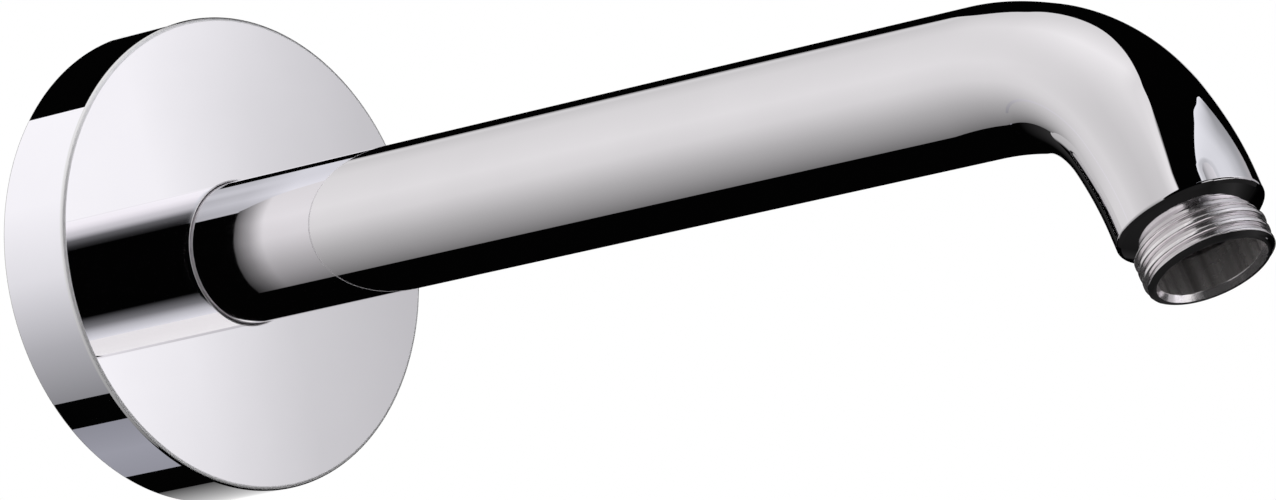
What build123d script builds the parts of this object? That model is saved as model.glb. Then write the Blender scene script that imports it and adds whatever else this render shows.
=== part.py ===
from build123d import *

import os
from math import cos, pi, radians, sin

# Driving dimensions, in millimetres and degrees. X runs out of the wall along the tube, Z is up,
# and the origin is where the tube's axis meets the wall.

# Tube
reach = 230.0  # wall to the centre of the outlet's end face
tube_diameter = 24.0
tube_wall = 2.0

# Bend: a tight middle arc between two gentle ones, thinned on its outer side as a bent tube is
bend_radius = 27.5
bend_angle = 46.0
lead_radius = 80.0
lead_angle = 10.0
bend_thinning = 1.5
bend_steps = 6
outlet_straight = 3.0

# Threaded ends, G 1/2 pipe thread
thread_diameter = 20.955
thread_bore = 16.6
thread_neck_diameter = 18.6
shoulder_round = 0.6
shoulder_length = 2.0
neck_length = 0.6
thread_lead_in = 0.8
mouth_chamfer = 1.3
mouth_land = 0.45
inlet_thread_length = 16.0
outlet_thread_length = 6.0
inlet_shoulder_x = 4.0  # how far the inlet's shoulder stands in front of the wall

# Escutcheon
escutcheon_diameter = 80.0
escutcheon_depth = 15.0
escutcheon_face = 2.5
escutcheon_rim_wall = 2.0
rim_bevel = 0.6
hole_clearance = 0.3
hole_bevel = 0.5
collar_wall = 4.2
collar_length = 6.5

# Grip ring and its groove
ring_section = 2.0
ring_clearance = 0.05
groove_side_clearance = 0.3
groove_inset = 2.0  # behind the plate's face

os.makedirs("parts", exist_ok=True)

# Sizes worked out from the ones above
tube_radius = tube_diameter / 2
bore_radius = tube_radius - tube_wall
thread_radius = thread_diameter / 2
neck_radius = thread_neck_diameter / 2
mouth_radius = thread_bore / 2
bend_arcs = [(lead_radius, lead_angle), (bend_radius, bend_angle), (lead_radius, lead_angle)]
outlet_angle = sum(angle for _, angle in bend_arcs)
end_length = shoulder_length + neck_length + thread_lead_in
outlet_length = end_length + outlet_thread_length


def bend_run():
    """How far the bend's arcs carry the centre line out from the wall."""
    run = 0.0
    turned = 0.0
    for radius, angle in bend_arcs:
        run += radius * (sin(radians(turned + angle)) - sin(radians(turned)))
        turned += angle
    return run


outlet_run = (outlet_straight + outlet_length) * cos(radians(outlet_angle))
bend_start_x = reach - outlet_run - bend_run()


def round_section(plane, radius):
    """The tube's section where it is straight."""
    with BuildSketch(plane) as outline:
        Circle(radius)
    return outline.sketch


def oval_section(plane, radius, thinning):
    """The tube's section in the bend, thinned on the outer side and a little wider across."""
    with BuildSketch(plane) as outline:
        with Locations((0, -thinning / 2)):
            Ellipse(radius + thinning / 4, radius - thinning / 2)
    return outline.sketch


def bent_tube(radius, mode):
    """The straight run, the bend and the short straight outlet, as a rod of the given radius."""
    inlet = round_section(Plane.YZ.offset(inlet_shoulder_x), radius)
    extrude(inlet, amount=bend_start_x - inlet_shoulder_x, mode=mode)

    with BuildLine(Plane.XZ) as centre_line:
        lead_in = JernArc((bend_start_x, 0), (1, 0), lead_radius, -lead_angle)
        middle = JernArc(lead_in @ 1, lead_in % 1, bend_radius, -bend_angle)
        JernArc(middle @ 1, middle % 1, lead_radius, -lead_angle)
    path = centre_line.wire()

    def across(along):
        return Plane(path @ along, x_dir=(0, 1, 0), z_dir=path % along)

    bend_sections = [round_section(across(0), radius)]
    for step in range(1, bend_steps):
        along = step / bend_steps
        bend_sections.append(oval_section(across(along), radius, bend_thinning * sin(pi * along) ** 2))
    outlet = round_section(across(1), radius)
    sweep(bend_sections + [outlet], path=path, multisection=True, mode=mode)

    extrude(outlet, amount=outlet_straight, mode=mode)
    return Plane(path @ 1 + (path % 1) * outlet_straight, x_dir=path % 1, z_dir=(0, 1, 0))


def turned_end(plane, thread_length):
    """The shoulder, neck and threaded spigot at one end, turned about the plane's X direction."""
    thread_start = end_length
    end = thread_start + thread_length
    with BuildSketch(plane) as profile:
        with BuildLine():
            Polyline(
                (0, 0),
                (0, tube_radius),
                (shoulder_round, tube_radius - shoulder_round),
                (shoulder_length, neck_radius),
                (shoulder_length + neck_length, neck_radius),
                (thread_start, thread_radius),
                (end - mouth_chamfer, thread_radius),
                (end, mouth_radius + mouth_land),
                (end, 0),
                close=True,
            )
        make_face()
    revolve(profile.sketch, axis=Axis(plane.origin, plane.x_dir))


def end_waterway(plane, thread_length):
    """The waterway through one end: a funnel from the tube's bore and a straight mouth."""
    end = end_length + thread_length
    with BuildSketch(plane) as profile:
        with BuildLine():
            Polyline(
                (0, 0),
                (0, bore_radius),
                (shoulder_length, mouth_radius),
                (end, mouth_radius),
                (end, 0),
                close=True,
            )
        make_face()
    revolve(profile.sketch, axis=Axis(plane.origin, plane.x_dir), mode=Mode.SUBTRACT)


# Arm: the bent tube with its two threaded ends and the waterway through it
with BuildPart() as arm_tube:
    inlet_plane = Plane((inlet_shoulder_x, 0, 0), x_dir=(-1, 0, 0), z_dir=(0, 1, 0))
    outlet_plane = bent_tube(tube_radius, Mode.ADD)
    turned_end(inlet_plane, inlet_thread_length)
    turned_end(outlet_plane, outlet_thread_length)
    bent_tube(bore_radius, Mode.SUBTRACT)
    end_waterway(inlet_plane, inlet_thread_length)
    end_waterway(outlet_plane, outlet_thread_length)

# Escutcheon: half its section, turned about the tube's axis
plate_radius = escutcheon_diameter / 2
face_back = escutcheon_depth - escutcheon_face
hole_radius = tube_radius + hole_clearance
collar_radius = hole_radius + collar_wall
collar_end = face_back - collar_length
groove_front = escutcheon_depth - escutcheon_face - groove_inset
groove_width = ring_section + 2 * groove_side_clearance
groove_radius = tube_radius + ring_section + 2 * ring_clearance

with BuildPart() as escutcheon:
    with BuildSketch(Plane.XZ):
        with BuildLine():
            Polyline(
                (escutcheon_depth, hole_radius + hole_bevel),
                (escutcheon_depth, plate_radius - rim_bevel),
                (escutcheon_depth - rim_bevel, plate_radius),
                (0, plate_radius),
                (0, plate_radius - escutcheon_rim_wall),
                (face_back, plate_radius - escutcheon_rim_wall),
                (face_back, collar_radius),
                (collar_end, collar_radius),
                (collar_end, hole_radius),
                (groove_front - groove_width, hole_radius),
                (groove_front - groove_width, groove_radius),
                (groove_front, groove_radius),
                (groove_front, hole_radius),
                (escutcheon_depth - hole_bevel, hole_radius),
                close=True,
            )
        make_face()
    revolve(axis=Axis.X)

# Grip ring: a square-cut rubber ring in the collar's groove, with its inner side on the tube
with BuildPart() as grip_ring:
    with BuildSketch(Plane.XZ):
        with Locations((groove_front - groove_width / 2, tube_radius + ring_clearance + ring_section / 2)):
            Rectangle(ring_section, ring_section)
    revolve(axis=Axis.X)

arm_tube.part.label = "arm_tube"
export_step(arm_tube.part, "parts/arm_tube.step")

escutcheon.part.label = "escutcheon"
export_step(escutcheon.part, "parts/escutcheon.step")

grip_ring.part.label = "grip_ring"
export_step(grip_ring.part, "parts/grip_ring.step")
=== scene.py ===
from math import ceil, cos, pi, radians, sin, tan

import bpy
from mathutils import Matrix, Vector


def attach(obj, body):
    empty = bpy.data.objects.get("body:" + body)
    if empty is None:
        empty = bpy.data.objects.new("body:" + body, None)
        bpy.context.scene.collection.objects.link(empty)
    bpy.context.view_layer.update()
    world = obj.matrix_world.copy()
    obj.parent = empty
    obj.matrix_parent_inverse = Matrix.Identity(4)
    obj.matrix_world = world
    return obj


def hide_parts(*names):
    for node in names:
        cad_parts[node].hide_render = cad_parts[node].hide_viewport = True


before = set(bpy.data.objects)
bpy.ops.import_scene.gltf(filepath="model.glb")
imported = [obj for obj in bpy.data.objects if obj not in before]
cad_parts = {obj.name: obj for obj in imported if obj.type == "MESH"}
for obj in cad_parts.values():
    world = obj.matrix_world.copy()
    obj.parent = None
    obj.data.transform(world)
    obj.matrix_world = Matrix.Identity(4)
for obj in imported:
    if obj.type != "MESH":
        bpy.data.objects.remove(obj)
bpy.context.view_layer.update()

MM = 0.001

# Arm, in millimetres. The sizes are the part's own, apart from the finer mouths and the trimmed outlet.
REACH = 230.0
TUBE_RADIUS = 12.0
BORE_RADIUS = 10.0
BEND_ARCS = ((80.0, 10.0), (27.5, 46.0), (80.0, 10.0))  # radius and angle of each arc
BEND_THINNING = 1.5
OUTLET_STRAIGHT = 3.0
SHOULDER_X = 4.0
SHOULDER_ROUND = 0.6
SHOULDER_LENGTH = 2.0
SHOULDER_FILLET = 0.5
NECK_LENGTH = 0.6
NECK_RADIUS = 9.3
NECK_FILLET = 0.2
THREAD_LEAD_IN = 0.8
LEAD_IN_FILLET = 0.1
MOUTH_CHAMFER = 0.6
MOUTH_LAND = 0.50
MOUTH_RADIUS = 8.3
LIP_WIDTH = 0.7  # the taper inside the mouth
LIP_DEPTH = 1.05
LIP_FILLET = 0.15
TAPER_FILLET = 0.3
FUNNEL_FILLET = 0.5
INLET_THREAD = 16.0
OUTLET_THREAD = 6.0
OUTLET_TRIM = 0.5  # how much shorter the outlet's thread is cut than the part's
END_OVERLAP = 2.0  # how far an end's rings reach back over the tube
BORE_OVERLAP = 1.0  # and into its bore

# G 1/2 pipe thread, with flattened crests and with its roots part filled by the plating
THREAD_RADIUS = 20.955 / 2
THREAD_PITCH = 1.814
THREAD_DEPTH = 0.75
ROOT_SHARE = 0.30
CREST_SHARE = 0.26

# Plate and ring. The plate's edges are finer than the part's, and its hole is closer to the tube.
PLATE_RADIUS = 40.0
PLATE_DEPTH = 15.0
PLATE_FACE = 2.5
PLATE_WALL = 2.0
RIM_BEVEL = 0.40
RIM_FILLET = 0.9
HOLE_RADIUS = 12.05
HOLE_BEVEL = 0.20
HOLE_FILLET = 0.8
BACK_FILLET = 0.25
INSIDE_FILLET = 0.5
COLLAR_RADIUS = 16.5
COLLAR_LENGTH = 6.5
COLLAR_FILLET = 0.3
GROOVE_SIDE = 0.3
GROOVE_INSET = 2.0
GROOVE_FILLET = 0.1
POLISH_DEPTH = 0.5  # how far the polish runs into the hole
POLISH_START = 0.3  # and how far from the wall it starts on the plate's side
RING_SIZE = 2.0
RING_CLEARANCE = 0.05
RING_FILLET = 0.2

# Fineness of the meshes
TINY = 1e-9
AROUND = 192
PLATE_AROUND = 288
ARC_STEPS = 7
SUPPORT = 0.03
FILLET_SHARE = 0.48
INLET_STEP = 0.14
OUTLET_STEP = 0.08
RUN_STEP = 8.0
BEND_STEP = 0.8
BORE_STEP = 2.0

# Materials of the arm and of the plate, by their place in the piece's list
POLISHED, SATIN, WATERWAY = 0, 1, 2
TURNED, EDGE = 1, 2

# Sizes worked out from the ones above
END_LENGTH = SHOULDER_LENGTH + NECK_LENGTH + THREAD_LEAD_IN
MOUTH_EDGE = MOUTH_RADIUS + LIP_WIDTH
OUTLET_CUT = OUTLET_THREAD - OUTLET_TRIM
OUTLET_ANGLE = radians(sum(angle for _, angle in BEND_ARCS))
BEND_LENGTH = sum(radius * radians(angle) for radius, angle in BEND_ARCS)
ANGLES = [2 * pi * step / AROUND for step in range(AROUND)]


def bend_run():
    """How far the bend's arcs carry the centre line out from the wall."""
    run = 0.0
    turned = 0.0
    for radius, angle in BEND_ARCS:
        run += radius * (sin(turned + radians(angle)) - sin(turned))
        turned += radians(angle)
    return run


# Places along the arm's line, measured from the inlet's shoulder
OUTLET_RUN = (OUTLET_STRAIGHT + END_LENGTH + OUTLET_THREAD) * cos(OUTLET_ANGLE)
BEND_START = REACH - OUTLET_RUN - bend_run() - SHOULDER_X
BEND_END = BEND_START + BEND_LENGTH
TUBE_LENGTH = BEND_END + OUTLET_STRAIGHT


def place(along):
    """Centre and downward heading of the arm's line, measured along it from the inlet's shoulder."""
    if along <= BEND_START:
        return SHOULDER_X + along, 0.0, 0.0
    x, z, turned = SHOULDER_X + BEND_START, 0.0, 0.0
    left = along - BEND_START
    for radius, angle in BEND_ARCS:
        turn = min(left / radius, radians(angle))
        x += radius * (sin(turned + turn) - sin(turned))
        z -= radius * (cos(turned) - cos(turned + turn))
        turned += turn
        left -= radius * turn
        if left < TINY:
            return x, z, turned
    return x + left * cos(turned), z - left * sin(turned), turned


def thinning(along):
    """How much thinner the tube is at a place in the bend, on its outer side."""
    share = (along - BEND_START) / BEND_LENGTH
    if share <= 0.0 or share >= 1.0:
        return 0.0
    return BEND_THINNING * sin(pi * share) ** 2


def rounded(outline, closed=False):
    """A profile of (corner, fillet) with its corners rounded by arcs, and with points close beside them."""
    count = len(outline)
    profile = []
    for index, (corner, fillet) in enumerate(outline):
        if fillet == 0.0 or not (closed or 0 < index < count - 1):
            profile.append(corner)
            continue
        point = Vector(corner)
        back = Vector(outline[index - 1][0]) - point
        ahead = Vector(outline[(index + 1) % count][0]) - point
        angle = back.angle(ahead)
        reach = min(fillet / tan(angle / 2), FILLET_SHARE * back.length, FILLET_SHARE * ahead.length)
        back.normalize()
        ahead.normalize()
        start = point + back * reach
        end = point + ahead * reach
        centre = point + (back + ahead).normalized() * (reach * tan(angle / 2) / sin(angle / 2))
        first = start - centre
        sweep = first.angle_signed(end - centre)
        profile.append(tuple(start + back * SUPPORT))
        for step in range(ARC_STEPS + 1):
            turn = -sweep * step / ARC_STEPS
            profile.append(tuple(centre + Matrix.Rotation(turn, 2) @ first))
        profile.append(tuple(end + ahead * SUPPORT))
    return profile


def end_profile(thread_length):
    """Outside of a threaded end: distance from the shoulder, and radius."""
    end = END_LENGTH + thread_length
    return rounded((
        ((-END_OVERLAP, TUBE_RADIUS), 0.0),
        ((0.0, TUBE_RADIUS), SHOULDER_FILLET),
        ((SHOULDER_ROUND, TUBE_RADIUS - SHOULDER_ROUND), SHOULDER_FILLET),
        ((SHOULDER_LENGTH, NECK_RADIUS), NECK_FILLET),
        ((SHOULDER_LENGTH + NECK_LENGTH, NECK_RADIUS), LEAD_IN_FILLET),
        ((END_LENGTH, THREAD_RADIUS), 0.0),
        ((end - MOUTH_CHAMFER, THREAD_RADIUS), 0.0),
        ((end, MOUTH_EDGE + MOUTH_LAND), 0.0),
    ))


def value_at(profile, distance):
    """The radius of a profile at a distance along it."""
    for (a, low), (b, high) in zip(profile, profile[1:]):
        if a <= distance <= b:
            return low if b == a else low + (high - low) * (distance - a) / (b - a)
    return profile[-1][1]


def thread_cut(distance, angle):
    """Radius of the right-handed thread at a distance out from the shoulder and an angle around it."""
    phase = (distance / THREAD_PITCH - angle / (2 * pi)) % 1.0
    rise = (1.0 - abs(2.0 * phase - 1.0) - ROOT_SHARE) / (1.0 - ROOT_SHARE - CREST_SHARE)
    height = min(max(rise, 0.0), 1.0)
    return THREAD_RADIUS - THREAD_DEPTH * (1.0 - height * height * (3.0 - 2.0 * height))


def arm_ring(along, radii, thin=0.0):
    """One ring of points around the arm's line. Angle 0 is the outer side of the bend."""
    x, z, turned = place(along)
    out_x, out_z = sin(turned), cos(turned)
    ring = []
    for angle, radius in zip(ANGLES, radii):
        up = radius * cos(angle) * (1 - thin / (2 * TUBE_RADIUS)) - thin / 2
        across = radius * sin(angle) * (1 + thin / (4 * TUBE_RADIUS))
        ring.append(Vector((x + out_x * up, -across, z + out_z * up)) * MM)
    return ring


def steps(low, high, size):
    """Evenly spaced values from low to high, both included."""
    count = max(1, ceil((high - low) / size))
    return [low + (high - low) * k / count for k in range(count + 1)]


def end_rings(thread_length, inlet):
    """Rings over a threaded end, from the tube outwards, each with its material and how deep it is cut."""
    profile = end_profile(thread_length)
    cut_from = SHOULDER_LENGTH + NECK_LENGTH
    end = END_LENGTH + thread_length
    places = [distance for distance, _ in profile if distance < cut_from]
    places += steps(cut_from, end, INLET_STEP if inlet else OUTLET_STEP)
    hand = -1.0 if inlet else 1.0
    rings = []
    for distance in places:
        along = -distance if inlet else TUBE_LENGTH + distance
        outer = value_at(profile, distance)
        radii = [outer] * AROUND
        if distance >= cut_from:
            radii = [min(outer, thread_cut(distance, hand * angle)) for angle in ANGLES]
        depths = [max(0.0, (THREAD_RADIUS - radius) / THREAD_DEPTH) for radius in radii]
        satin = SHOULDER_LENGTH <= distance < end - MOUTH_CHAMFER
        rings.append((arm_ring(along, radii), SATIN if satin else POLISHED, depths))
    return rings


def waterway_rings(thread_length, inlet):
    """Rings down the mouth of one end, from its land over a satin taper into the tube."""
    end = END_LENGTH + thread_length
    profile = rounded((
        ((end, MOUTH_EDGE + MOUTH_LAND), 0.0),
        ((end, MOUTH_EDGE), LIP_FILLET),
        ((end - LIP_DEPTH, MOUTH_RADIUS), TAPER_FILLET),
        ((SHOULDER_LENGTH, MOUTH_RADIUS), FUNNEL_FILLET),
        ((0.0, BORE_RADIUS), FUNNEL_FILLET),
        ((-BORE_OVERLAP, BORE_RADIUS), 0.0),
    ))
    rings = []
    for distance, radius in profile[1:]:
        along = -distance if inlet else TUBE_LENGTH + distance
        band = POLISHED if radius > MOUTH_EDGE else SATIN
        if distance <= end - LIP_DEPTH:
            band = WATERWAY
        rings.append((arm_ring(along, [radius] * AROUND), band, [0.0] * AROUND))
    return rings


def tube_rings(radius, places, band):
    """Rings along the straight run and the bend."""
    return [(arm_ring(s, [radius] * AROUND, thinning(s)), band, [0.0] * AROUND) for s in places]


def join_rings(name, rings, materials):
    """A closed mesh of quads between rings of points, each ring with its band's material."""
    count = len(rings[0][0])
    faces = []
    bands = []
    for k in range(len(rings)):
        a, b = k * count, ((k + 1) % len(rings)) * count
        for i in range(count):
            j = (i + 1) % count
            faces.append((a + i, a + j, b + j, b + i))
            bands.append(rings[k][1])
    mesh = bpy.data.meshes.new(name)
    mesh.from_pydata([point for ring, _, _ in rings for point in ring], [], faces)
    for material in materials:
        mesh.materials.append(material)
    mesh.polygons.foreach_set("material_index", bands)
    mesh.polygons.foreach_set("use_smooth", [True] * len(faces))
    # how deep the thread is cut, which the thread's material turns into painted shade in its roots
    cut = mesh.attributes.new("cut", "FLOAT", "POINT")
    cut.data.foreach_set("value", [depth for _, _, depths in rings for depth in depths])
    around = mesh.attributes.new("around", "FLOAT_VECTOR", "POINT")
    turns = [2 * pi * i / count for i in range(count)]
    spots = [(cos(turn), sin(turn), k / len(rings)) for k in range(len(rings)) for turn in turns]
    around.data.foreach_set("vector", [value for spot in spots for value in spot])
    mesh.update()
    piece = bpy.data.objects.new(name, mesh)
    bpy.context.scene.collection.objects.link(piece)
    return piece


def make_arm(materials):
    """The bent tube with its shoulders, cut threads and waterway, as one closed surface."""
    straight = steps(END_OVERLAP, BEND_START, RUN_STEP)[:-1]
    outside = straight + steps(BEND_START, BEND_END, BEND_STEP)
    inside = straight + steps(BEND_START, BEND_END, BORE_STEP)
    inlet = list(reversed(end_rings(INLET_THREAD, True)))
    bands = [band for _, band, _ in inlet][1:] + [POLISHED]
    rings = [(ring, band, depths) for (ring, _, depths), band in zip(inlet, bands)]
    rings += tube_rings(TUBE_RADIUS, outside, POLISHED)
    rings += end_rings(OUTLET_CUT, False)
    rings += waterway_rings(OUTLET_CUT, False)
    rings += tube_rings(BORE_RADIUS, reversed(inside), WATERWAY)
    rings += reversed(waterway_rings(INLET_THREAD, True))
    return join_rings("arm", rings, materials)


def make_turned(name, profile, around, materials, bands):
    """A closed profile of (x, radius) turned about the tube's axis."""
    rings = []
    for (x, radius), band in zip(profile, bands):
        ring = []
        for step in range(around):
            angle = 2 * pi * step / around
            ring.append(Vector((x, radius * sin(angle), radius * cos(angle))) * MM)
        rings.append((ring, band, [0.0] * around))
    return join_rings(name, rings, materials)


def plate_band(start, end):
    """Material of one strip of the plate: dull on its front edges, polished in front and at the side."""
    x, radius = (start[0] + end[0]) / 2, (start[1] + end[1]) / 2
    rim = radius > PLATE_RADIUS - 2 * RIM_BEVEL and x > PLATE_DEPTH - RIM_BEVEL / 2
    hole = radius < HOLE_RADIUS + 2 * HOLE_BEVEL and x > PLATE_DEPTH - 2 * HOLE_BEVEL
    if rim or hole:
        return EDGE
    front = start[0] > PLATE_DEPTH - POLISH_DEPTH
    side = start[0] > POLISH_START and start[1] > PLATE_RADIUS - PLATE_WALL / 2
    return POLISHED if front or side else TURNED


def make_plate(materials):
    """The round wall plate: a cup with a bevelled face, an open back and a grooved collar."""
    face_back = PLATE_DEPTH - PLATE_FACE
    wall = PLATE_RADIUS - PLATE_WALL
    collar_end = face_back - COLLAR_LENGTH
    groove_front = face_back - GROOVE_INSET
    groove_back = groove_front - RING_SIZE - 2 * GROOVE_SIDE
    groove = TUBE_RADIUS + RING_SIZE + 2 * RING_CLEARANCE
    profile = rounded((
        ((PLATE_DEPTH, HOLE_RADIUS + HOLE_BEVEL), HOLE_FILLET),
        ((PLATE_DEPTH, PLATE_RADIUS - RIM_BEVEL), RIM_FILLET),
        ((PLATE_DEPTH - RIM_BEVEL, PLATE_RADIUS), RIM_FILLET),
        ((0.0, PLATE_RADIUS), BACK_FILLET),
        ((0.0, wall), BACK_FILLET),
        ((face_back, wall), INSIDE_FILLET),
        ((face_back, COLLAR_RADIUS), INSIDE_FILLET),
        ((collar_end, COLLAR_RADIUS), COLLAR_FILLET),
        ((collar_end, HOLE_RADIUS), COLLAR_FILLET),
        ((groove_back, HOLE_RADIUS), GROOVE_FILLET),
        ((groove_back, groove), GROOVE_FILLET),
        ((groove_front, groove), GROOVE_FILLET),
        ((groove_front, HOLE_RADIUS), GROOVE_FILLET),
        ((PLATE_DEPTH - HOLE_BEVEL, HOLE_RADIUS), HOLE_FILLET),
    ), closed=True)
    bands = [plate_band(start, end) for start, end in zip(profile, profile[1:] + profile[:1])]
    return make_turned("wall_plate", profile, PLATE_AROUND, materials, bands)


def make_ring(material):
    """The square-cut rubber ring in the plate's collar."""
    x = PLATE_DEPTH - PLATE_FACE - GROOVE_INSET - GROOVE_SIDE - RING_SIZE / 2
    radius = TUBE_RADIUS + RING_CLEARANCE + RING_SIZE / 2
    half = RING_SIZE / 2
    corners = [(x + half * a, radius + half * b) for a, b in ((1, -1), (1, 1), (-1, 1), (-1, -1))]
    profile = rounded([(corner, RING_FILLET) for corner in corners], closed=True)
    return make_turned("rubber_ring", profile, AROUND, [material], [0] * len(profile))


class Material:
    """A node material with its shader, its object coordinates and short ways to add nodes."""

    def __init__(self, name):
        self.data = bpy.data.materials.new(name)
        self.data.use_nodes = True
        self.tree = self.data.node_tree
        self.shader = self.tree.nodes["Principled BSDF"]
        self.coordinates = self.tree.nodes.new("ShaderNodeTexCoord").outputs["Object"]

    def link(self, source, node, socket):
        """Feed a value to a node."""
        self.tree.links.new(source, node.inputs[socket])

    def noise(self, scale, detail=2.0, stretch=None, source=None):
        """Noise over the object, with a scale in features per metre, or over another source of places."""
        node = self.tree.nodes.new("ShaderNodeTexNoise")
        node.inputs["Scale"].default_value = scale
        node.inputs["Detail"].default_value = detail
        source = source or self.coordinates
        if stretch:
            mapping = self.tree.nodes.new("ShaderNodeMapping")
            mapping.inputs["Scale"].default_value = stretch
            self.link(source, mapping, "Vector")
            source = mapping.outputs["Vector"]
        self.link(source, node, "Vector")
        return node.outputs["Fac"]

    def attribute(self, name, output="Fac"):
        """A value that is stored on the mesh."""
        node = self.tree.nodes.new("ShaderNodeAttribute")
        node.attribute_name = name
        return node.outputs[output]

    def span(self, source, low, high, start=0.3, end=0.7):
        """A value mapped from start..end to low..high."""
        node = self.tree.nodes.new("ShaderNodeMapRange")
        node.inputs["From Min"].default_value = start
        node.inputs["From Max"].default_value = end
        node.inputs["To Min"].default_value = low
        node.inputs["To Max"].default_value = high
        self.link(source, node, "Value")
        return node.outputs["Result"]

    def blend(self, factor, first, second):
        """A colour between two, by a factor."""
        node = self.tree.nodes.new("ShaderNodeMix")
        node.data_type = "RGBA"
        self.link(factor, node, "Factor")
        for name, colour in (("A", first), ("B", second)):
            socket = next(s for s in node.inputs if s.name == name and s.type == "RGBA")
            if isinstance(colour, tuple):
                socket.default_value = (*colour, 1)
            else:
                self.tree.links.new(colour, socket)
        return next(s for s in node.outputs if s.type == "RGBA")

    def bump(self, height, distance):
        """A normal that follows a height, with its depth in metres."""
        node = self.tree.nodes.new("ShaderNodeBump")
        node.inputs["Distance"].default_value = distance
        self.link(height, node, "Height")
        return node.outputs["Normal"]

    def finish(self, metallic, colour, roughness, normal):
        """The material, once its shader is fed."""
        self.shader.inputs["Metallic"].default_value = metallic
        self.link(colour, self.shader, "Base Color")
        self.link(roughness, self.shader, "Roughness")
        self.link(normal, self.shader, "Normal")
        return self.data


ARM_TONES = ((0.865, 0.840, 0.865), (0.885, 0.860, 0.885))
PLATE_TONES = ((0.945, 0.935, 0.950), (0.960, 0.950, 0.965))


def polished_chrome(name, dark, light):
    """Mirror chrome: a faint swell left by the buffing wheel under a very fine grain."""
    m = Material(name)
    colour = m.blend(m.span(m.noise(60.0, 3.0), 0.0, 1.0), dark, light)
    roughness = m.span(m.noise(350.0, 4.0), 0.004, 0.014)
    swell = m.bump(m.noise(90.0, 1.0), 0.000002)
    return m.finish(1.0, colour, roughness, swell)


def edge_chrome(dark, light):
    """The plate's two edges, left duller by the buffing wheel."""
    m = Material("edge_chrome")
    colour = m.blend(m.span(m.noise(150.0, 3.0), 0.0, 1.0), dark, light)
    roughness = m.span(m.noise(600.0, 3.0), 0.36, 0.46)
    return m.finish(0.9, colour, roughness, m.bump(m.noise(900.0), 0.000004))


def thread_chrome():
    """Plated thread: satin bright with a fine grain, and with painted shade that darkens its colour in the
    roots.
    """
    m = Material("thread_chrome")
    grain = m.noise(1500.0, 4.0)
    bright = m.blend(m.span(grain, 0.0, 1.0), (0.90, 0.86, 0.88), (0.98, 0.94, 0.96))
    # painted shade: the colour darkens towards the thread's roots, by how deep the thread is cut
    painted_root_shade = m.span(m.attribute("cut"), 0.0, 1.0, 0.7, 1.0)
    colour = m.blend(painted_root_shade, bright, (0.72, 0.68, 0.70))
    roughness = m.span(m.noise(900.0, 3.0), 0.10, 0.22)
    return m.finish(0.95, colour, roughness, m.bump(grain, 0.00001))


def waterway_metal():
    """Bare metal inside the tube: dull, with streaks along the run and blotches from the plating bath."""
    m = Material("waterway_metal")
    streaks = m.noise(5.0, 4.0, source=m.attribute("around", "Vector"))
    colour = m.blend(m.span(streaks, 0.0, 1.0), (0.36, 0.34, 0.34), (0.80, 0.77, 0.77))
    roughness = m.span(m.noise(250.0, 3.0), 0.16, 0.34)
    return m.finish(0.85, colour, roughness, m.bump(m.noise(900.0, 3.0), 0.00002))


def turned_metal():
    """The plate's unseen side: thinly plated, with the marks of turning."""
    m = Material("turned_metal")
    blotches = m.noise(120.0, 4.0)
    colour = m.blend(m.span(blotches, 0.0, 1.0), (0.55, 0.54, 0.52), (0.68, 0.67, 0.65))
    roughness = m.span(m.noise(500.0, 3.0), 0.26, 0.42)
    marks = m.noise(1800.0, 2.0, stretch=(1.0, 0.25, 0.25))
    return m.finish(1.0, colour, roughness, m.bump(marks, 0.00002))


def black_rubber():
    """Moulded rubber with a fine matt grain."""
    m = Material("black_rubber")
    grain = m.noise(2600.0, 3.0)
    blotches = m.noise(200.0, 3.0)
    colour = m.blend(m.span(blotches, 0.0, 1.0), (0.022, 0.022, 0.024), (0.045, 0.044, 0.044))
    roughness = m.span(grain, 0.5, 0.72)
    return m.finish(0.0, colour, roughness, m.bump(grain, 0.00004))


arm_chrome = polished_chrome("arm_chrome", *ARM_TONES)
plate_chrome = polished_chrome("plate_chrome", *PLATE_TONES)
arm = make_arm([arm_chrome, thread_chrome(), waterway_metal()])
plate = make_plate([plate_chrome, turned_metal(), edge_chrome(*PLATE_TONES)])
ring = make_ring(black_rubber())

for piece, body, node, slot in (
    (arm, "arm", "arm_tube", "arm_chrome"),
    (plate, "plate", "escutcheon", "plate_chrome"),
    (ring, "ring", "grip_ring", "ring_rubber"),
):
    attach(piece, body)
    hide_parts(node)

# Studio. Cards stand round the tube like a tent, in metres along the tube and in degrees around it:
# 0 is behind the tube, 90 above it, 180 towards the camera and 270 below it.
FLAG_RADIUS = 0.070
BEND_FLAG_RADIUS = 0.200
SOFTBOX_RADIUS = 0.355
BACKDROP_RADIUS = 0.360
TENT_RADIUS = 0.370
WEDGE_RADIUS = 1.190
FAR_RADIUS = 1.200

# Where the cards start and end along the tube
TENT_FAR = 1.3
TENT_OPEN = 0.232
TENT_LOW_OPEN = 0.405
SIDE_FRONT_X = (-0.366, -0.336)
SIDE_LOW_X = (-0.369, -0.340)
SIDE_BACK_X = (-0.381, -0.351)
SOFTBOX_STEP, SOFTBOX_END = 0.325, 0.3725
BACKDROP_X = (-0.30, 0.03)
BACKDROP_LOW_X = (-0.13, 0.10)
FAR_START, FAR_STEP, FAR_FADE, FAR_SOFT, FAR_END = 0.10, 1.238, 1.300, 1.304, 2.8
BEND_FILL_X = (-0.13, -0.07)
BEND_FLAG_X = (-0.16, 0.03)
EDGE_FLAG_X = (0.27, 0.55)
SHOULDER_FLAG_X = (0.30, 0.45)
OUTLET_FLAG_X = (0.165, 0.330)
WEDGE_FLAG_X = (1.20, 1.285)
LEFT_CONE_TIP = -1.7
RIGHT_CONE_START, RIGHT_CONE_MID = 0.80, 1.0

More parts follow.
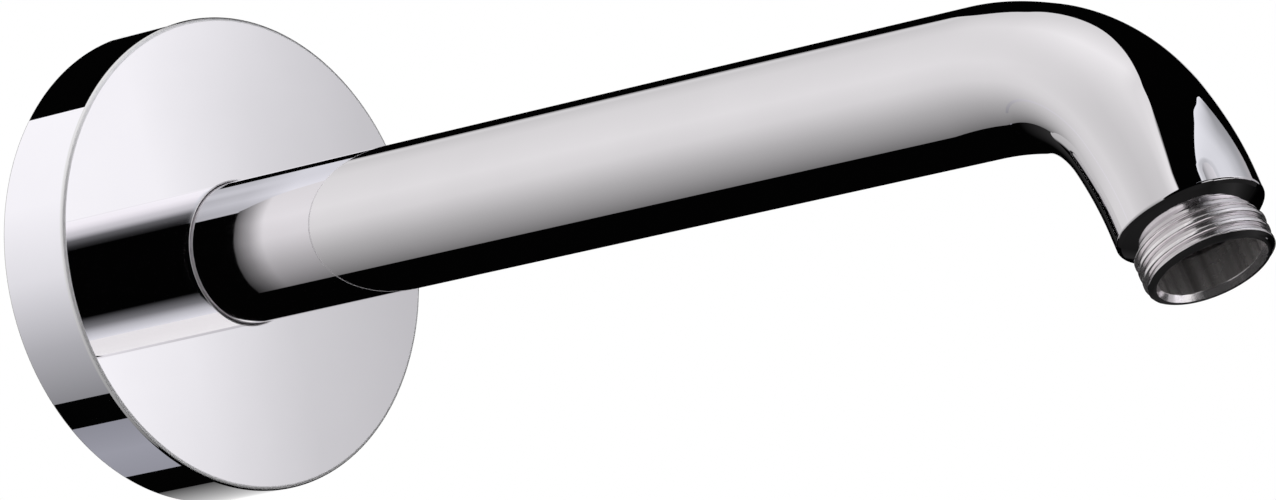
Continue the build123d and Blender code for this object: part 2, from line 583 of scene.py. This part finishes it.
# Where they start and end around it
WHOLE = (0.0, 360.0)
SOFTBOX_LOW = 264.0
SOFTBOX_LEFT_ARC = (110.0, SOFTBOX_LOW)
RIGHT_LOW, RIGHT_SPLIT = -20.0, 30.0
RIGHT_STEP_ARC = (RIGHT_SPLIT, 126.0)
RIGHT_FAR_ARC = (RIGHT_SPLIT, 124.0)
SIDE_FRONT_ARC = (102.0, 243.0)
SIDE_LOW_ARC = (258.0, 295.5)
SIDE_BACK_ARC = (316.5, 392.0)
BACKDROP_ARC = (-5.0, 22.0)
BACKDROP_LOW_ARC = (-50.0, -5.0)
TENT_LOW_ARC = (126.0, 352.0)
TENT_RIGHT_ARC = (124.0, 284.0)
TENT_TOP_END = 140.0
BEND_FILL_ARC = (238.0, 262.0)
BEND_FLAG_ARC = (264.0, 362.0)
EDGE_FLAG_LOW = 285.0
SHOULDER_FLAG_ARC = (318.0, 350.0)
OUTLET_FLAG_LOW = 243.0
WEDGE_FLAG_ARC = (RIGHT_SPLIT, 54.0)
RIGHT_CONE_ARC = (-18.0, 290.0)

# Plain levels and tints
DARK = 0.0008
DUSK = 0.015
BACKDROP_LEVEL = 0.8
BACKDROP_LOW_LEVEL = 0.6
WHITE = (1.0, 1.0, 1.0)
PALE = (0.975, 0.965, 1.0)
COOL = (0.93, 0.955, 1.0)
BLUE = (0.86, 0.87, 1.0)
DIM = (0.92, 0.925, 1.0)

# Radii of the cones that close the tent, at their tips and where the right one changes its level
CONE_TIP = 0.01
CONE_SHARE = (RIGHT_CONE_MID - RIGHT_CONE_START) / (TENT_FAR - RIGHT_CONE_START)
CONE_RADIUS = TENT_RADIUS + (CONE_TIP - TENT_RADIUS) * CONE_SHARE

CARD_LONG, CARD_AROUND = 48, 96


def ramp(stops, value):
    """A value between given stops of (place, value)."""
    if value <= stops[0][0]:
        return stops[0][1]
    for (a, low), (b, high) in zip(stops, stops[1:]):
        if value <= b:
            return low + (high - low) * (value - a) / (b - a)
    return stops[-1][1]


def curve(stops, value):
    """As ramp, but on a smooth curve through the stops."""
    value = min(max(value, stops[0][0]), stops[-1][0])
    ends = [stops[0], *stops, stops[-1]]
    for (xa, ya), (xb, yb), (xc, yc), (xd, yd) in zip(ends, ends[1:], ends[2:], ends[3:]):
        if value <= xc and xc > xb:
            t = (value - xb) / (xc - xb)
            start = (yc - ya) / (xc - xa) * (xc - xb)
            end = (yd - yb) / (xd - xb) * (xc - xb)
            near = ((2 * t - 3) * t * t + 1) * yb + ((t - 2) * t + 1) * t * start
            far = (3 - 2 * t) * t * t * yc + (t - 1) * t * t * end
            return near + far
    return stops[-1][1]


def by_angle(*stops):
    """A level that changes only around the tube."""
    return lambda x, angle: ramp(stops, angle)


def by_place(*stops):
    """A level that changes only along the tube."""
    return lambda x, angle: ramp(stops, x)


def at(value, *where):
    """A plain value as it is, or a function's value at a place."""
    return value(*where) if callable(value) else value


def card_material(name, tint, dim_tint):
    """A card that glows by its level attribute, in one tint where it is bright and in another where dim."""
    material = bpy.data.materials.new(name)
    material.use_nodes = True
    nodes = material.node_tree.nodes
    nodes.clear()
    glow = nodes.new("ShaderNodeEmission")
    level = nodes.new("ShaderNodeAttribute")
    level.attribute_name = "level"
    mix = nodes.new("ShaderNodeMix")
    mix.data_type = "RGBA"
    colours = [socket for socket in mix.inputs if socket.type == "RGBA"]
    colours[0].default_value = (*dim_tint, 1)
    colours[1].default_value = (*tint, 1)
    output = nodes.new("ShaderNodeOutputMaterial")
    links = material.node_tree.links
    links.new(level.outputs["Fac"], mix.inputs["Factor"])
    links.new(next(socket for socket in mix.outputs if socket.type == "RGBA"), glow.inputs["Color"])
    links.new(level.outputs["Fac"], glow.inputs["Strength"])
    links.new(glow.outputs["Emission"], output.inputs["Surface"])
    return material


def make_card(name, radius, x_range, arc, level, tint=WHITE, dim_tint=None, end_radius=None):
    """A curved card that only reflections show, or a cone if it has an end radius.

    The two edges of its arc are angles or functions of x, and its level is a value or a function of both.
    """
    verts = []
    levels = []
    faces = []
    row = CARD_AROUND + 1
    for i in range(CARD_LONG + 1):
        x = x_range[0] + (x_range[1] - x_range[0]) * i / CARD_LONG
        r = radius + ((end_radius or radius) - radius) * i / CARD_LONG
        low, high = at(arc[0], x), at(arc[1], x)
        for k in range(row):
            angle = low + (high - low) * k / CARD_AROUND
            verts.append((x, r * cos(radians(angle)), r * sin(radians(angle))))
            levels.append(at(level, x, angle))
            if i and k:
                corner = i * row + k
                faces.append((corner - row - 1, corner - row, corner, corner - 1))
    mesh = bpy.data.meshes.new(name)
    mesh.from_pydata(verts, [], faces)
    mesh.attributes.new("level", "FLOAT", "POINT").data.foreach_set("value", levels)
    mesh.materials.append(card_material(name, tint, dim_tint or tint))
    card = bpy.data.objects.new(name, mesh)
    bpy.context.scene.collection.objects.link(card)
    card.visible_camera = False
    card.visible_diffuse = False
    card.visible_shadow = False


def softbox_edge(x):
    """Where the large softbox starts above the tube."""
    return curve(((-0.34, 62), (-0.15, 62), (-0.07, 74), (0.02, 67), (0.13, 67),
                  (0.23, 78), (0.31, 92), (0.345, 101), (0.362, 110), (0.372, 124)), x)


def softbox_level(x, angle):
    """The large softbox fades towards the floor. Its right half is hottest overhead."""
    left = ramp(((62, 0.30), (67, 0.74), (76, 0.66), (100, 0.77), (150, 0.84),
                 (180, 0.75), (216, 0.48), (264, 0.18)), angle)
    right = ramp(((67, 0.74), (84, 0.84), (100, 0.95), (132, 0.78), (170, 0.60),
                  (216, 0.44), (264, 0.18)), angle)
    share = ramp(((-0.12, 0.0), (0.15, 1.0), (0.28, 1.0), (0.338, 0.0)), x)
    end = ramp(((0.325, 1.0), (0.345, 1.06), (0.3625, 1.06), (0.3675, 0.5), (0.3725, 0.12)), x)
    return (left + (right - left) * share) * end


RIGHT_LEAN = 0.0016  # how much the right-hand card's fall-off leans, for each degree from its middle
RIGHT_MIDDLE = 14.0
RIGHT_GLOW = 0.96  # its level at its upper edge
RIGHT_GLOW_FALL = 1.5  # and how steeply that falls away below the edge
OUTLET_FLAG_SHADE = 0.8  # how much darker the outlet's flag is below the end face


def right_edge(x):
    """Where the right-hand card ends above the tube."""
    return curve(((0.10, 34), (0.31, 44), (0.49, 52), (0.67, 62), (0.87, 73), (1.06, 87), (1.24, 104)), x)


def right_level(x, angle):
    """The right-hand card: a soft fall-off across what the plate sees, brighter to the right above that."""
    across = cos(radians(angle)) * FAR_RADIUS / x - RIGHT_LEAN * (angle - RIGHT_MIDDLE)
    low = ramp(((0.85, 0.985), (0.875, 0.94), (0.902, 0.75), (0.93, 0.64),
                (0.96, 0.57), (1.2, 0.45)), across)
    high = ramp(((0.30, 0.37), (0.44, 0.40), (0.52, 0.44), (0.66, 0.57), (0.76, 0.63),
                 (0.94, 0.77), (1.1, 0.82)), x)
    width = ramp(((0.3, 3.0), (0.52, 10.0), (0.75, 17.0), (0.95, 26.0)), x)
    near_edge = ramp(((-width, 0.0), (0.0, 1.0)), angle - right_edge(x))
    high += (RIGHT_GLOW - high) * near_edge ** RIGHT_GLOW_FALL
    return low + (high - low) * ramp(((26.0, 0.0), (34.0, 1.0)), angle)


def step_level(x, angle):
    """The right-hand card is duller overhead where it steps up."""
    dim = ramp(((1.248, 0.0), (1.275, 0.28), (1.300, 0.33)), x)
    dim *= ramp(((40.0, 0.0), (54.0, 1.0), (68.0, 0.8), (74.0, 0.5), (80.0, 0.5), (88.0, 1.0)), angle)
    return right_level(x, angle) * (1.0 - dim) * ramp(((104.0, 1.0), (118.0, 0.8)), angle)


def far_level(x, angle):
    """The right-hand card's far end, which fades out above."""
    fade = ramp(((60, 1.05), (68, 0.98), (76, 0.88), (84, 0.72), (92, 0.62),
                 (98, 0.40), (104, 0.15), (116, 0.035), (124, DARK)), angle)
    share = ramp(((30.0, 0.0), (36.0, 1.0)), angle) * ramp(((FAR_FADE, 0.0), (FAR_SOFT, 1.0)), x)
    near = step_level(x, angle)
    return near + (fade - near) * share


def outlet_flag_edge(x):
    """Where the flag under the outlet ends at the back, cut away to the right to let light onto the lip."""
    return ramp(((0.238, 350.0), (0.245, 320.0), (0.258, 316.0), (0.282, 308.0), (0.290, 290.0)), x)


def outlet_flag_level(x, angle):
    """The flag under the outlet is a dark grey, paler to the right and black below the end face."""
    level = ramp(((243, 0.012), (258, 0.014), (280, 0.010), (303, 0.028),
                  (313, 0.012), (322, 0.002)), angle)
    end_face = ramp(((0.236, 1.0), (0.246, 0.0)), x) * ramp(((298.0, 0.0), (306.0, 1.0)), angle)
    return level * (1.0 - OUTLET_FLAG_SHADE * end_face)


def edge_flag_edge(x):
    """Where the flag behind the shoulder's edge ends, below the light that reaches the lip."""
    return ramp(((0.28, 343.0), (0.34, 340.0), (0.42, 332.0), (0.50, 315.0), (0.55, 300.0)), x)


# Levels that change only along the tube or only around it. The tent is black by the tube and a dark grey
# far to its left. The cones are light towards the camera and below, and dark behind.
side_front_level = by_angle((102, 1.0), (150, 0.97), (184, 0.80), (216, 0.46), (243, 0.27))
side_low_level = by_angle((258, 0.32), (276, 0.39), (296, 0.34))
side_back_level = by_angle((316, 0.08), (365, 1.0))
tent_left_level = by_place((-1.20, 0.028), (-0.80, 0.016), (-0.62, 0.008), (-0.50, DARK))
tent_right_level = by_angle((238, DARK), (256, 0.22), (268, 0.60), (284, 0.92))
cone_level = by_angle((20, DARK), (100, DARK), (112, 0.76), (190, 0.62),
                      (250, 0.52), (288, 0.47), (306, DARK))


def make_lights():
    """The softbox over the tube, the large card to its right, and the cards that the plate's side shows."""
    softbox_arc = (softbox_edge, SOFTBOX_LOW)
    low_arc = (RIGHT_LOW, RIGHT_SPLIT)
    edge_arc = (RIGHT_SPLIT, right_edge)
    left_x = (-TENT_FAR, SIDE_FRONT_X[0])
    make_card("softbox", SOFTBOX_RADIUS, (SIDE_FRONT_X[1], SOFTBOX_STEP), softbox_arc, softbox_level)
    make_card("softbox_end", SOFTBOX_RADIUS, (SOFTBOX_STEP, SOFTBOX_END), softbox_arc, softbox_level)
    make_card("right_card_low", FAR_RADIUS, (FAR_START, FAR_END), low_arc, right_level, PALE)
    make_card("right_card", FAR_RADIUS, (FAR_START, FAR_STEP), edge_arc, right_level, COOL)
    make_card("right_card_step", FAR_RADIUS, (FAR_STEP, FAR_FADE), RIGHT_STEP_ARC, step_level, COOL)
    make_card("right_card_fade", FAR_RADIUS, (FAR_FADE, FAR_SOFT), RIGHT_STEP_ARC, far_level, COOL)
    make_card("right_card_far", FAR_RADIUS, (FAR_SOFT, FAR_END), RIGHT_FAR_ARC, far_level, PALE, COOL)
    make_card("side_front_card", SOFTBOX_RADIUS, SIDE_FRONT_X, SIDE_FRONT_ARC, side_front_level, PALE, DIM)
    make_card("side_low_card", SOFTBOX_RADIUS, SIDE_LOW_X, SIDE_LOW_ARC, side_low_level, BLUE)
    make_card("side_back_card", SOFTBOX_RADIUS, SIDE_BACK_X, SIDE_BACK_ARC, side_back_level)
    make_card("softbox_left", SOFTBOX_RADIUS, left_x, SOFTBOX_LEFT_ARC, softbox_level)
    make_card("backdrop_card", BACKDROP_RADIUS, BACKDROP_X, BACKDROP_ARC, BACKDROP_LEVEL)
    make_card("backdrop_low_card", BACKDROP_RADIUS, BACKDROP_LOW_X, BACKDROP_LOW_ARC, BACKDROP_LOW_LEVEL)


def make_tent():
    """The black tent, the cones at its ends, and the flags that keep light off the bend and the outlet."""
    edge_arc = (EDGE_FLAG_LOW, edge_flag_edge)
    outlet_arc = (OUTLET_FLAG_LOW, outlet_flag_edge)
    left_x = (-TENT_FAR, LEFT_CONE_TIP)
    right_x = (RIGHT_CONE_START, RIGHT_CONE_MID)
    right_end_x = (RIGHT_CONE_MID, TENT_FAR)
    make_card("tent_left", TENT_RADIUS, (-TENT_FAR, TENT_OPEN), WHOLE, tent_left_level)
    make_card("tent_low", TENT_RADIUS, (TENT_OPEN, TENT_LOW_OPEN), TENT_LOW_ARC, DARK)
    make_card("tent_right", TENT_RADIUS, (TENT_LOW_OPEN, TENT_FAR), TENT_RIGHT_ARC, tent_right_level, COOL)
    make_card("tent_top", FAR_RADIUS, (FAR_START, FAR_STEP), (right_edge, TENT_TOP_END), DARK)
    make_card("bend_fill", BEND_FLAG_RADIUS, BEND_FILL_X, BEND_FILL_ARC, softbox_level)
    make_card("bend_flag", BEND_FLAG_RADIUS, BEND_FLAG_X, BEND_FLAG_ARC, DARK)
    make_card("edge_flag", BEND_FLAG_RADIUS, EDGE_FLAG_X, edge_arc, DUSK)
    make_card("shoulder_flag", FLAG_RADIUS, SHOULDER_FLAG_X, SHOULDER_FLAG_ARC, DARK)
    make_card("outlet_flag", FLAG_RADIUS, OUTLET_FLAG_X, outlet_arc, outlet_flag_level)
    make_card("wedge_flag", WEDGE_RADIUS, WEDGE_FLAG_X, WEDGE_FLAG_ARC, DARK)
    make_card("left_cone", TENT_RADIUS, left_x, WHOLE, cone_level, end_radius=CONE_TIP)
    make_card("right_cone", TENT_RADIUS, right_x, RIGHT_CONE_ARC, DARK, end_radius=CONE_RADIUS)
    make_card("right_cone_end", CONE_RADIUS, right_end_x, WHOLE, cone_level, end_radius=CONE_TIP)


make_lights()
make_tent()

# Floor
FLOOR_HEIGHT = -0.40
FLOOR_SIZE = 8.0


def pale_floor():
    """A pale matt floor with a faint mottle."""
    m = Material("floor")
    colour = m.blend(m.span(m.noise(3.0), 0.0, 1.0), (0.93, 0.93, 0.925), (0.95, 0.95, 0.945))
    roughness = m.span(m.noise(40.0), 0.7, 0.85)
    return m.finish(0.0, colour, roughness, m.bump(m.noise(200.0), 0.0001))


def make_floor():
    """A plain floor below the cards."""
    half = FLOOR_SIZE / 2
    corners = [(-half, -half), (half, -half), (half, half), (-half, half)]
    mesh = bpy.data.meshes.new("floor")
    mesh.from_pydata([(x, y, FLOOR_HEIGHT) for x, y in corners], [], [(0, 1, 2, 3)])
    mesh.materials.append(pale_floor())
    floor = bpy.data.objects.new("floor", mesh)
    bpy.context.scene.collection.objects.link(floor)


make_floor()

# Camera, at the photograph's viewing angle
IMAGE_WIDTH = 1276
FOCAL_PIXELS = 9180.7
SENSOR = 36.0
CLIP_START = 0.01
VIEW_AZIMUTH = radians(45.22)
VIEW_ELEVATION = radians(-8.80)
VIEW_ROLL = radians(-3.63)
VIEW_TARGET = Vector((108.04, 0.0, -13.94)) * MM
VIEW_DISTANCE = 1465.1 * MM


def make_camera():
    """The camera, turned by its roll about the line of sight."""
    level = cos(VIEW_ELEVATION)
    towards = Vector((sin(VIEW_AZIMUTH) * level, -cos(VIEW_AZIMUTH) * level, sin(VIEW_ELEVATION)))
    flat_right = Vector((0, 0, 1)).cross(towards).normalized()
    flat_up = towards.cross(flat_right)
    right = flat_right * cos(VIEW_ROLL) + flat_up * sin(VIEW_ROLL)
    up = flat_up * cos(VIEW_ROLL) - flat_right * sin(VIEW_ROLL)
    data = bpy.data.cameras.new("camera")
    data.sensor_fit = "HORIZONTAL"
    data.sensor_width = SENSOR
    data.lens = FOCAL_PIXELS * SENSOR / IMAGE_WIDTH
    data.clip_start = CLIP_START
    camera = bpy.data.objects.new("camera", data)
    bpy.context.scene.collection.objects.link(camera)
    basis = Matrix((right, up, towards)).transposed().to_4x4()
    camera.matrix_world = Matrix.Translation(VIEW_TARGET + towards * VIEW_DISTANCE) @ basis
    bpy.context.scene.camera = camera


make_camera()

# World: plain white all round
scene = bpy.context.scene
scene.view_settings.view_transform = "Standard"
world = bpy.data.worlds.new("studio")
scene.world = world
world.use_nodes = True
world.node_tree.nodes["Background"].inputs["Color"].default_value = (*WHITE, 1)
